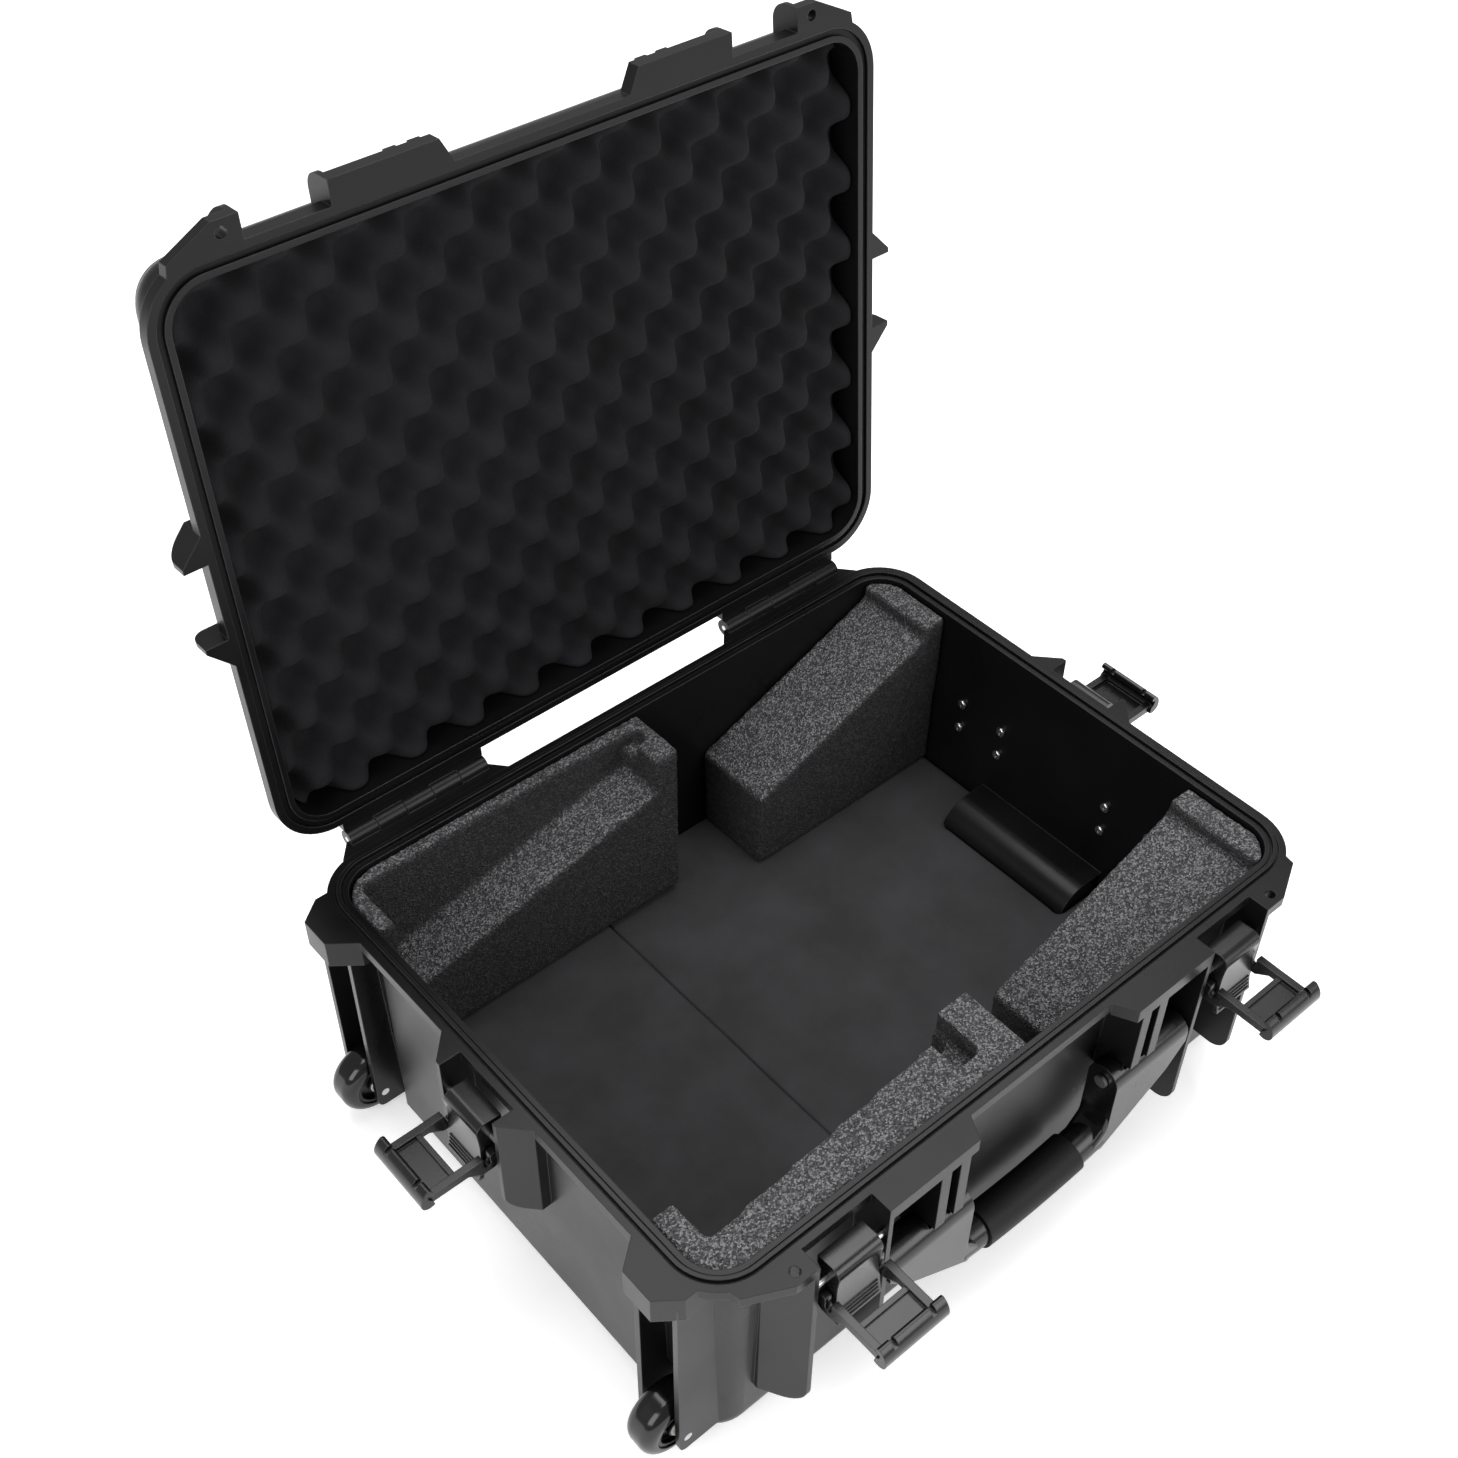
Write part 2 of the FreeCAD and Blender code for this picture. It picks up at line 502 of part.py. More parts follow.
def claw():
    """Outer frame with its hook, lying straight out; drawn for outward = -Y."""
    u0, z0 = CLAW_U, CLAW_Z
    x_in = LEVER_W / 2 + 0.9
    x_out = x_in + RAIL_W
    parts = []
    # where the lever pin lies beside the arms once the claw stands straight up
    px, pz = PIVOT_Z - CLAW_Z, CLAW_U - PIVOT_U
    reach, room = math.hypot(px, pz), LATCH_PIN_R + PIN_ROOM
    low = pz - room - 4.6
    for s in (-1, 1):
        lo, hi = sorted((s * x_in, s * x_out))
        parts.append(cyl(4.6, hi - lo, (lo, -u0, z0), (1, 0, 0)))
        pts = ((-u0, z0 - 3.6), (-u0, z0 + 3.6), (-u0 - 30, z0 + CLAW_T / 2),
               (-u0 - CLAW_L + 6, z0 + CLAW_T / 2), (-u0 - CLAW_L + 6, z0 - CLAW_T / 2),
               (-u0 - 30, z0 - CLAW_T / 2))
        parts.append(prism(pts, "X", lo, hi - lo))
        # the arm bows outside the lever pin
        bow = ((2, -4.2), (5 - px, low), (-px - 4, low), (-px - 14, -CLAW_T / 2), (-px - 14, 0),
               (0, 0))
        parts.append(prism([(y - u0, z + z0) for y, z in bow], "X", lo, hi - lo))
    # crossbar, tray floor and the rolled hook
    parts.append(box(-x_out, x_out, -u0 - 35, -u0 - 31.5, z0 - CLAW_T / 2, z0 + 1.5))
    parts.append(box(-x_out, x_out, -u0 - CLAW_L + 6, -u0 - 33, z0 - CLAW_T / 2, z0 - 0.2))
    yb = -u0 - CLAW_L

    def q(y, z):
        return V(-HOOK_W / 2, y, z0 + z)
    lip = Part.Wire([
        Part.makeLine(q(yb + 9, -3.0), q(yb + 8.0, 1.5)),
        Part.Arc(q(yb + 8.0, 1.5), q(yb + 5.6, 4.2), q(yb + 5.0, 7.5)).toShape(),
        Part.makeLine(q(yb + 5.0, 7.5), q(yb + 8.0, 8.3)),
        Part.Arc(q(yb + 8.0, 8.3), q(yb + 7.8, 11.4), q(yb + 5.4, 12.2)).toShape(),
        Part.Arc(q(yb + 5.4, 12.2), q(yb + 0.6, 6.5), q(yb, 0.6)).toShape(),
        Part.Arc(q(yb, 0.6), q(yb + 2.3, -3.0), q(yb + 9, -3.0)).toShape()])
    hook = Part.Face(lip).extrude(V(HOOK_W, 0, 0))
    for s in (-1, 1):
        hook = hook.cut(box(s * 15 - 1.6, s * 15 + 1.6, yb - 1, yb + 20, z0 + 8.5, z0 + 13))
    body = fuse(parts + [hook])
    # the lever pin's path past the arms, from above the root to its place when latched
    at = (-RECESS / 2, -u0, z0)
    path = cyl(reach + room, RECESS, at, (1, 0, 0)).cut(cyl(reach - room, RECESS, at, (1, 0, 0)))
    beyond = box(-RECESS, RECESS, -u0 - 2 * reach, -u0, z0, z0 + 2 * reach)
    low_turn = math.degrees(math.atan2(-pz, px))
    beyond = beyond.fuse(spin(beyond, (0, -u0, z0), (1, 0, 0), low_turn))
    path = path.common(beyond).fuse(cyl(room, RECESS, (-RECESS / 2, -u0 - px, z0 + pz), (1, 0, 0)))
    body = body.cut(path)
    return body.cut(cyl(CLAW_PIN_R + RUN, RECESS, (-RECESS / 2, -u0, z0), (1, 0, 0)))


def claw_pin():
    w = LEVER_W / 2 + 0.9 + RAIL_W
    return cyl(CLAW_PIN_R, 2 * w, (-w, -CLAW_U, CLAW_Z), (1, 0, 0))


def latch_pin():
    w = RECESS / 2 + 2.5
    return cyl(LATCH_PIN_R, 2 * w, (-w, -PIVOT_U, PIVOT_Z), (1, 0, 0))


# ======================= carry handle =======================
def carry_handle():
    """Wide U that hangs from two pins, with slots for the base's lugs."""
    pin_z = BASE_H + HANDLE_Z
    bar_z = pin_z - GRIP_DROP
    y = HANDLE_Y
    half = []
    half.append(cyl(BOSS_R, ARM_OUT - ARM_IN, (ARM_IN, y, pin_z), (1, 0, 0)))
    arm = prism(((ARM_IN, pin_z), (ARM_OUT, pin_z), (ARM_OUT, pin_z - 8), (ARM_OUT - 22, pin_z - 33),
                 (ARM_IN - 2, bar_z - 8), (ARM_IN - 16, bar_z), (ARM_IN - 3, bar_z + 14),
                 (ARM_IN, bar_z + 26)), "Y", y - BOSS_R, 2 * BOSS_R)
    half.append(soften(arm, 3.0, lambda e: e.BoundBox.ZMax < pin_z - 9
                       and e.BoundBox.YMax - e.BoundBox.YMin < 0.1))
    side = fuse(half)
    for x0, x1 in LUGS:
        slot = cyl(9.0, x1 - x0 + 2 * SIDE, (x0 - SIDE, y, pin_z), (1, 0, 0))
        gap = box(x0 - SIDE, x1 + SIDE, y - 7.5, y + 20, pin_z - 7.5, pin_z + 20)
        side = side.cut(slot).cut(gap)
    # the bar bows down a little towards its middle
    bow = 5.0
    path = Part.Wire(Part.Arc(V(-ARM_IN, y, bar_z), V(0, y, bar_z - bow),
                              V(ARM_IN, y, bar_z)).toShape())
    ring_at = Part.Wire(Part.makeCircle(BOSS_R + 0.4, V(-ARM_IN, y, bar_z),
                                        path.tangentAt(path.FirstParameter)
                                        if hasattr(path, "tangentAt") else V(1, 0, 0)))
    bar = path.makePipeShell([ring_at], True, False)
    body = fuse(both(side, (1, 0, 0)) + [bar])
    bore = cyl(HANDLE_PIN_R + RUN, 2 * ARM_OUT + 2, (-ARM_OUT - 1, y, pin_z), (1, 0, 0))
    return body.cut(bore)


def handle_grip(handle):
    """Soft overmoulded sleeve on the middle of the bar."""
    y, bar_z, bow, n = HANDLE_Y, BASE_H + HANDLE_Z - GRIP_DROP, 5.0, 44.0
    drop = bow * (1 - (n / ARM_IN) ** 2)
    path = Part.Wire(Part.Arc(V(-n, y, bar_z - drop), V(0, y, bar_z - bow),
                              V(n, y, bar_z - drop)).toShape())
    start = V(-n, y, bar_z - drop)
    t = V(1, 0, -2 * bow * n / ARM_IN ** 2)
    outer = path.makePipeShell([Part.Wire(Part.makeCircle(GRIP_R + 0.6, start, t))], True, False)
    return outer.cut(handle)


def handle_pins():
    pin_z, parts = BASE_H + HANDLE_Z, []
    for s in (-1, 1):
        x0, x1 = sorted((s * (ARM_IN - 0.8), s * (PLATE_OUT - 1.2)))
        pin = cyl(HANDLE_PIN_R, x1 - x0, (x0, HANDLE_Y, pin_z), (1, 0, 0))
        h0, h1 = sorted((s * (ARM_IN - 3.0), s * (ARM_IN - 0.8)))
        parts.append(pin.fuse(cyl(4.6, h1 - h0, (h0, HANDLE_Y, pin_z), (1, 0, 0))))
    return Part.makeCompound(parts)


# ======================= wheels =======================
def wheel_tyre(side):
    """Rounded tread ring."""
    x, y, z = WHEEL_X, side * WHEEL_Y, WHEEL_Z
    tread = cyl(WHEEL_R, WHEEL_W, (x, y - WHEEL_W / 2, z), (0, 1, 0))
    tread = tread.makeFillet(8.0, [e for e in tread.Edges if e.Closed and len(e.Vertexes) == 1])
    return tread.cut(cyl(HUB_R, WHEEL_W + 2, (x, y - WHEEL_W / 2 - 1, z), (0, 1, 0)))


def wheel_hub(side):
    x, y, z = WHEEL_X, side * WHEEL_Y, WHEEL_Z
    w = WHEEL_W - 2
    hub = cyl(HUB_R, w, (x, y - w / 2, z), (0, 1, 0))
    for f in (-1, 1):
        lo, hi = sorted((y + f * (w / 2 - 4), y + f * (w / 2 + 1)))
        dish = cyl(HUB_R - 3.0, hi - lo, (x, lo, z), (0, 1, 0)).cut(
            cyl(7.5, hi - lo, (x, lo, z), (0, 1, 0)))
        hub = hub.cut(dish)
    return hub.cut(cyl(4.6, w + 2, (x, y - w / 2 - 1, z), (0, 1, 0)))


def wheel_bushes(side):
    """Two flanged bushes pressed in the hub."""
    x, y, z = WHEEL_X, side * WHEEL_Y, WHEEL_Z
    w, parts = WHEEL_W - 2, []
    for f in (-1, 1):
        lo, hi = sorted((y + f * (w / 2 - 8), y + f * (w / 2)))
        flo, fhi = sorted((y + f * (w / 2), y + f * (w / 2 + 1.2)))
        bush = cyl(4.6, hi - lo, (x, lo, z), (0, 1, 0)).fuse(
            cyl(6.4, fhi - flo, (x, flo, z), (0, 1, 0))).removeSplitter()
        parts.append(bush.cut(cyl(AXLE_R + RUN, hi - lo + 8, (x, min(lo, flo) - 2, z), (0, 1, 0))))
    return Part.makeCompound(parts)


def wheel_axles():
    parts = []
    n = WHEEL_W / 2 + WELL + 4.5
    for s in (-1, 1):
        parts.append(cyl(AXLE_R, 2 * n, (WHEEL_X, s * WHEEL_Y - n, WHEEL_Z), (0, 1, 0)))
    return Part.makeCompound(parts)


# ======================= trolley handle =======================
TUBE_X0, TUBE_X1 = CHANNEL_LEFT + 6.0, 226.0
GUIDE_X0, GUIDE_X1 = 206.0, 227.0
INNER_R = TUBE_R - TUBE_T - SLIDE


def trolley_tubes():
    parts = []
    for s in (-1, 1):
        at = (TUBE_X0, s * TROLLEY_Y, TROLLEY_Z)
        tube = cyl(TUBE_R, TUBE_X1 - TUBE_X0, at, (1, 0, 0))
        parts.append(tube.cut(cyl(TUBE_R - TUBE_T, TUBE_X1 - TUBE_X0, at, (1, 0, 0))))
    return Part.makeCompound(parts)


def trolley_rods():
    """Inner tubes, which slide out with the grip."""
    parts = []
    for s in (-1, 1):
        x0, x1 = TUBE_X0 + 24, GRIP_X0 + 12
        at = (x0, s * TROLLEY_Y, TROLLEY_Z)
        tube = cyl(INNER_R, x1 - x0, at, (1, 0, 0))
        parts.append(tube.cut(cyl(INNER_R - 1.3, x1 - x0, at, (1, 0, 0))))
    return Part.makeCompound(parts)


def trolley_grip():
    half = TROLLEY_Y + 13.0
    bar = box(GRIP_X0, GRIP_X1, -half, half, 4.5, 28.0)
    bar = soften(bar, 5.0, lambda e: e.BoundBox.YMax - e.BoundBox.YMin > 50)
    bar = soften(bar, 3.0, lambda e: e.BoundBox.YMax - e.BoundBox.YMin < 6
                 and e.BoundBox.XMax - e.BoundBox.XMin < 0.1 and e.BoundBox.ZMax - e.BoundBox.ZMin > 5)
    for s in (-1, 1):
        bar = bar.cut(cyl(INNER_R, 12, (GRIP_X0, s * TROLLEY_Y, TROLLEY_Z), (1, 0, 0)))
    return bar.cut(box(GRIP_X1 - 8, GRIP_X1 + 1, -18.4, 18.4, 10.1, 22.4))


def trolley_button():
    key = box(GRIP_X1 - 5.0, GRIP_X1 + 1.2, -18.0, 18.0, 10.5, 22.0)
    return soften(key, 1.2, lambda e: abs(e.BoundBox.XMin - GRIP_X1 - 1.2) < 1e-3)


def trolley_brackets():
    """Outside plate on four screws, a leg down, and a guide block round the tube mouth."""
    parts = []
    x = RIM_L / 2 + 4.0
    for s in (-1, 1):
        lo, hi = sorted((s * (SCREW_Y[0] - BRACKET_EDGE), s * (SCREW_Y[1] + 9)))
        plate = box(x, x + BRACKET_T, lo, hi, BASE_H + SCREW_Z[0] - 9, BASE_H + SCREW_Z[1] + 9)
        plo, phi = sorted((s * (TROLLEY_Y - 12), s * (TROLLEY_Y + 12)))
        leg = box(x, x + BRACKET_T, plo, phi, CHANNEL_H - 2.6, BASE_H + SCREW_Z[0])
        tongue = box(GUIDE_X0, x + BRACKET_T, plo, phi, CHANNEL_H - 2.6, CHANNEL_H - 0.1)
        blo, bhi = sorted((s * (TROLLEY_Y - 14), s * (TROLLEY_Y + 14)))
        block = box(GUIDE_X0, GUIDE_X1, blo, bhi, 3.5, CHANNEL_H - 0.1)
        piece = fuse([plate, leg, tongue, block])
        piece = piece.cut(cyl(TUBE_R, TUBE_X1 - GUIDE_X0 + 1, (GUIDE_X0 - 1, s * TROLLEY_Y, TROLLEY_Z),
                              (1, 0, 0)))
        piece = piece.cut(cyl(INNER_R + SLIDE, 10, (TUBE_X1 - 1, s * TROLLEY_Y, TROLLEY_Z),
                              (1, 0, 0)))
        for y in SCREW_Y:
            for z in SCREW_Z:
                piece = piece.cut(cyl(2.2, 10, (x - 1, s * y, BASE_H + z), (1, 0, 0)))
        parts.append(piece)
    return Part.makeCompound(parts)


def trolley_end_blocks():
    parts = []
    for s in (-1, 1):
        lo, hi = sorted((s * (TROLLEY_Y - 14), s * (TROLLEY_Y + 14)))
        block = box(CHANNEL_LEFT + 0.05, TUBE_X0 + 14, lo, hi, 3.5, CHANNEL_H - 0.1)
        parts.append(block.cut(cyl(TUBE_R, 30, (TUBE_X0, s * TROLLEY_Y, TROLLEY_Z), (1, 0, 0))))
    return Part.makeCompound(parts)


def wall_in(z):
    """Inside face of the +X wall at height z."""
    return RIM_L / 2 - (BASE_H - z) * LEAN


def bracket_screws():
    """Pan-head screws from the inside."""
    parts = []
    for s in (-1, 1):
        for y in SCREW_Y:
            for z in SCREW_Z:
                x0 = wall_in(BASE_H + z - 4) - 0.1
                head = cyl(4.0, 2.4, (x0 - 2.4, s * y, BASE_H + z), (1, 0, 0))
                head = head.makeFillet(1.4, [e for e in head.Edges
                                             if e.Closed and len(e.Vertexes) == 1
                                             and e.BoundBox.XMax < x0 - 2])
                shank = cyl(2.0, RIM_L / 2 + 9.5 - x0, (x0, s * y, BASE_H + z), (1, 0, 0))
                screw = head.fuse(shank).removeSplitter()
                for a, b in ((2.2, 0.5), (0.5, 2.2)):
                    screw = screw.cut(box(x0 - 3, x0 - 1.3, s * y - a, s * y + a,
                                          BASE_H + z - b, BASE_H + z + b))
                parts.append(screw)
    return Part.makeCompound(parts)


def bracket_nuts():
    parts = []
    x0 = RIM_L / 2 + 4.0 + BRACKET_T
    for s in (-1, 1):
        for y in SCREW_Y:
            for z in SCREW_Z:
                pts = [(s * y + 4.04 * math.cos(i * PI / 3), BASE_H + z + 4.04 * math.sin(i * PI / 3))
                       for i in range(6)]
                nut = prism(pts, "X", x0, 3.2)
                parts.append(nut.cut(cyl(2.0, 4, (x0 - 0.5, s * y, BASE_H + z), (1, 0, 0))))
    return Part.makeCompound(parts)


# ======================= foam =======================
FLOOR_Z = CHANNEL_H + WALL + 0.5 + SOFT
PAD_TOP = FLOOR_Z + PAD_T


def inside(gap):
    """The base's inside space, drawn in by a gap on every side."""
    return tub(RIM_L / 2 - gap, RIM_W / 2 - gap, RIM_R - gap, BASE_H, WALL + 0.5 + gap,
               BOTTOM_R - WALL - gap)


def riser(side):
    """Foam block that levels the floor beside the raised middle."""
    lo, hi = sorted((side * (CHANNEL_W / 2 + WALL + SOFT), side * RIM_W))
    z1 = FLOOR_Z - SOFT
    block = box(WHEEL_X + WHEEL_R + WELL + WALL + SOFT, RIM_L, lo, hi, 0, z1)
    return block.common(inside(SOFT))


def middle_riser():
    """Foam block that levels the floor between the two trolley channels."""
    w = CHANNEL_IN - WALL - SOFT
    block = box(CHANNEL_LEFT - WALL, RECESS_X - WALL - SOFT, -w, w, 0, FLOOR_Z - SOFT)
    return block.common(inside(SOFT))


def pad(x0, x1, top):
    """Floor pad, rounded to the tub's corners and cut round wheel wells and bulge."""
    slab = inside(SOFT).common(box(x0, x1, -RIM_W, RIM_W, FLOOR_Z, top))
    cut_x = WHEEL_X + WHEEL_R + WELL + WALL + SOFT
    for s in (-1, 1):
        lo, hi = sorted((s * (WHEEL_Y - WHEEL_W / 2 - WELL - WALL - SOFT), s * RIM_W))
        slab = slab.cut(box(-RIM_L, cut_x, lo, hi, 0, BASE_H))
    w = RECESS_W / 2 + WALL + SOFT
    return slab.cut(box(RECESS_X - WALL - SOFT, RIM_L, -w, w, 0, BASE_H))


def foam_wedge(side):
    """Wedge by the +X wall: low towards the middle, with a raised strip at the wall."""
    lo, hi = sorted((side * RIM_W, side * (121.0 if side > 0 else 113.0)))
    x0, x1, xs = 63.5, RIM_L, 228.0
    z0, top = PAD_TOP + SOFT, BASE_H + FOAM_TOP
    pts = ((x0, z0), (x1, z0), (x1, top), (xs, top), (xs, top - 11), (x0, BASE_H - 79))
    return prism(pts, "Y", lo, hi - lo).common(inside(SOFT))


def foam_back_left():
    """Block along the back wall by the wheel end: a ramp with a thin wall behind it and at
    its low end, and a full-height block with a small step at the other."""
    z0, top = PAD_TOP + PAD_STEP + SOFT, BASE_H + FOAM_TOP
    y0, y1 = BACK_BLOCK_Y, RIM_W / 2
    x0, x1 = -RIM_L / 2, BLOCK_END_X
    step_x = BLOCK_END_X - BLOCK_LONG
    high, low = BASE_H - RAMP_HIGH, BASE_H - RAMP_LOW
    cut_x = WHEEL_X + WHEEL_R + WELL + WALL + SOFT
    pts = ((x0, z0 + 20), (cut_x, z0 + 20), (cut_x, z0), (x1, z0), (x1, top), (step_x, top),
           (step_x, high), (x0, low))
    core = prism(pts, "Y", y0, y1 - y0)
    back = box(x0, x1, y1 - BACK_WALL, y1, z0 + 20, top)
    left = box(x0, x0 + END_WALL, y0 - 4, y1, z0 + 20, top)
    notch = box(step_x - 1, step_x + 11, y0 + 24, y1 - BACK_WALL, top - 15, top + 1)
    return fuse([core, back, left]).cut(notch).common(inside(SOFT))


def foam_front_left():
    """Strip along the front wall that widens away from the wheel end, turns that corner,
    and ends in a notched block."""
    z0, top = PAD_TOP + PAD_STEP + SOFT, BASE_H + FOAM_TOP
    y0, x0 = -RIM_W / 2, -RIM_L / 2
    cut_x = WHEEL_X + WHEEL_R + WELL + WALL + SOFT
    step_x = BLOCK_END_X - BLOCK_LONG
    turn_x = x0 + END_WALL + 5
    pts = ((x0, y0), (BLOCK_END_X, y0), (BLOCK_END_X, FRONT_BLOCK_Y), (step_x - 8, FRONT_BLOCK_Y),
           (step_x - 8, STRIP_WIDE_Y), (turn_x, STRIP_NARROW_Y), (turn_x, STRIP_NARROW_Y + 31),
           (x0, STRIP_NARROW_Y + 31))
    block = prism(pts, "Z", z0, top - z0)
    notch = box(step_x - 25, step_x - 6, STRIP_WIDE_Y - 24, FRONT_BLOCK_Y + 1, top - 18, top + 1)
    block = block.cut(notch)
    block = block.cut(box(x0 - 1, cut_x, y0 - 1, -120, z0 - 1, z0 + 20))
    return block.common(inside(SOFT))


# ======================= write the nodes =======================
save(base_shell(), "base_shell")
save(Part.makeCompound([cyl(HINGE_PIN_R, 5 * KNUCKLE - SIDE, (s * HINGE_X - 2.5 * KNUCKLE + SIDE / 2,
                                                             HINGE_Y, BASE_H), (1, 0, 0))
                        for s in (-1, 1)]), "hinge_pins")
save(Part.makeCompound([place(latch_pin(), k) for k in LATCHES]), "latch_pins")
save(handle_pins(), "handle_pins")
save(wheel_axles(), "wheel_axles")
save(open_lid(lid_shell()), "lid_shell")
save(open_lid(lid_gasket()), "lid_gasket")
save(open_lid(lid_foam()), "lid_foam")
for k in LATCHES:
    save(place(lever(), k), "latch_lever_" + k[0])
    save(place(claw(), k), "latch_claw_" + k[0])
    save(place(claw_pin(), k), "claw_pin_" + k[0])
handle = carry_handle()
save(handle, "carry_handle")
save(handle_grip(handle), "handle_grip_sleeve")
for name, s in (("front", -1), ("back", 1)):
    save(wheel_tyre(s), "wheel_tyre_" + name)
    save(wheel_hub(s), "wheel_hub_" + name)
    save(wheel_bushes(s), "wheel_bushes_" + name)
save(trolley_tubes(), "trolley_tubes")
save(trolley_rods(), "trolley_rods")
save(trolley_grip(), "trolley_grip")
save(trolley_button(), "trolley_button")
save(trolley_brackets(), "trolley_brackets")
save(trolley_end_blocks(), "trolley_end_blocks")
save(bracket_screws(), "bracket_screws")
save(bracket_nuts(), "bracket_nuts")
save(riser(-1), "foam_riser_front")
save(riser(1), "foam_riser_back")
save(middle_riser(), "foam_riser_middle")
save(pad(-RIM_L, PAD_SEAM_X - SOFT / 2, PAD_TOP + PAD_STEP), "floor_pad_left")
save(pad(PAD_SEAM_X + SOFT / 2, RIM_L, PAD_TOP), "floor_pad_right")
save(foam_wedge(1), "foam_back_right")
save(foam_wedge(-1), "foam_front_right")
save(foam_back_left(), "foam_back_left")
save(foam_front_left(), "foam_front_left")
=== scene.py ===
# %% [markdown]
# # A wheeled carrying case, open on a pale floor
# The case is a moulded plastic tub and lid with four latches, a carry handle and a
# foam lining. The hard pieces come from the CAD model, which already has their true
# shape and place. This lesson dresses them: it gives every piece the finish of its
# real material, and remakes the foam, which CAD holds only as plain blocks.

# %% Load the frame
import json
import math

import bmesh
import bpy
import numpy as np
from mathutils import Matrix


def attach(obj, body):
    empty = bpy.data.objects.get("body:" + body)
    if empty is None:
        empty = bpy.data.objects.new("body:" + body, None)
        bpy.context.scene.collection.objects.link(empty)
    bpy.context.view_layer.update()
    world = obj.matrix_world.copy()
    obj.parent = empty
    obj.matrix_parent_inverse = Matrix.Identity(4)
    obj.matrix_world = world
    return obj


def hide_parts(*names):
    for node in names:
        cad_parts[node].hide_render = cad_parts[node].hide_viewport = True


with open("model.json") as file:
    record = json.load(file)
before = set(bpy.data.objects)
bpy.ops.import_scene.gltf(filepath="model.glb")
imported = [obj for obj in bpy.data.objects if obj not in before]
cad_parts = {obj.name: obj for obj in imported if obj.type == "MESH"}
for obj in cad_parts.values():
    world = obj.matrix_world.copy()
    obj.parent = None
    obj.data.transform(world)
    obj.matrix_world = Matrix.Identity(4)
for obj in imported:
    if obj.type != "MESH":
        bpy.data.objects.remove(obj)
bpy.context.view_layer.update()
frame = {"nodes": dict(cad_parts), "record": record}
nodes = frame["nodes"]

# %% [markdown]
# ## The camera
# It comes first, because everything else is judged through it. A lens of about 46 mm on
# a 36 mm sensor looks down at the open case over its wheel-end front corner. The view is
# written as a turn vector: its direction is the axis of the turn and its length the angle.
# Built this way, rather than aimed at a target, it also keeps the small roll of the view.

# %% Camera
def turn_matrix(v):
    """Rotation about the unit axis k by the angle |v|: I + sin(a) K + (1 - cos(a)) K K,
    where K is the matrix that takes the cross product with k."""
    angle = np.linalg.norm(v)
    kx, ky, kz = np.array(v) / angle
    k = np.array([[0, -kz, ky], [kz, 0, -kx], [-ky, kx, 0]])
    return np.eye(3) + math.sin(angle) * k + (1 - math.cos(angle)) * k @ k


view = turn_matrix((2.22072, -0.82281, 0.35985))      # rows: right, down, forward
eye = np.array([-0.59200, -0.58747, 1.12643])
cam_data = bpy.data.cameras.new("studio_camera")
cam_data.lens, cam_data.sensor_width = 46.463, 36.0
camera = bpy.data.objects.new("studio_camera", cam_data)
matrix = np.eye(4)
matrix[:3, 0], matrix[:3, 1], matrix[:3, 2] = view[0], -view[1], -view[2]
matrix[:3, 3] = eye
camera.matrix_world = Matrix(matrix.tolist())
bpy.context.scene.collection.objects.link(camera)
bpy.context.scene.camera = camera
print("camera looks along", np.round(view[2], 3))

# %% [markdown]
# ## Node and colour helpers
# Colours are written as the sRGB hex values a paint chart would give. Shaders work in
# linear light, so one function turns them. Another adds a shader node with its settings
# and its links, which keeps each material down to a few readable lines.

# %% Helpers
def linear(hex_colour):
    """sRGB to linear light: value / 12.92 where small, else ((value + 0.055) / 1.055) ^ 2.4."""
    c = np.array([int(hex_colour[i:i + 2], 16) for i in (1, 3, 5)]) / 255
    c = np.where(c <= 0.04045, c / 12.92, ((c + 0.055) / 1.055) ** 2.4)
    return (*c.tolist(), 1.0)


def add(tree, kind, settings=None, stops=(), **inputs):
    """Add one node. settings are its own properties, and stops are a colour ramp's marks.
    Each input is a value or a socket, named with _ for a space."""
    node = tree.nodes.new(kind)
    for number, (at, colour) in enumerate(stops):
        marks = node.color_ramp.elements
        mark = marks[number] if number < 2 else marks.new(at)
        mark.position, mark.color = at, linear(colour)
    for name, value in (settings or {}).items():
        setattr(node, name, value)
    for name, value in inputs.items():
        socket = node.inputs[name.replace("_", " ")]
        if isinstance(value, bpy.types.NodeSocket):
            tree.links.new(value, socket)
        else:
            socket.default_value = value
    return node


def start_material(name):
    """An empty material with its shader and the place of each point in metres."""
    material = bpy.data.materials.new(name)
    material.use_nodes = True
    tree = material.node_tree
    tree.nodes.clear()
    shader = tree.nodes.new("ShaderNodeBsdfPrincipled")
    out = tree.nodes.new("ShaderNodeOutputMaterial")
    tree.links.new(shader.outputs["BSDF"], out.inputs["Surface"])
    place = tree.nodes.new("ShaderNodeTexCoord").outputs["Object"]
    return material, tree, shader, place


def grains(millimetres):
    """Noise scale for features of about this size, as Object coordinates are in metres."""
    return 1000.0 / millimetres


print("white is", linear("#ffffff")[:3])

# %% [markdown]
# ## Moulded plastic
# The shells are polypropylene with a spark-eroded skin: the steel mould was roughened, so
# the plastic carries a fine even grain that breaks up reflections. The real grain is about
# 0.15 mm; it is drawn near 0.7 mm, or it would be finer than the picture can show. A much
# larger, faint noise changes the gloss, as handling does. The latches and handle are
# glass-filled nylon, which comes out of its mould smoother and a little glossier.
#
# No moulding has a perfectly sharp edge, and a black one shows its edges as thin pale
# lines. A Bevel node turns the shading normal within 0.9 mm of each edge, and where it has
# turned most, the colour is painted paler: a painted highlight along the edges. The roughened
# skin scatters part of its gloss inside its own pits, so the specular level is set below a
# polished plastic's.

# %% Plastics
EDGE_ROUND = 0.0009             # metres


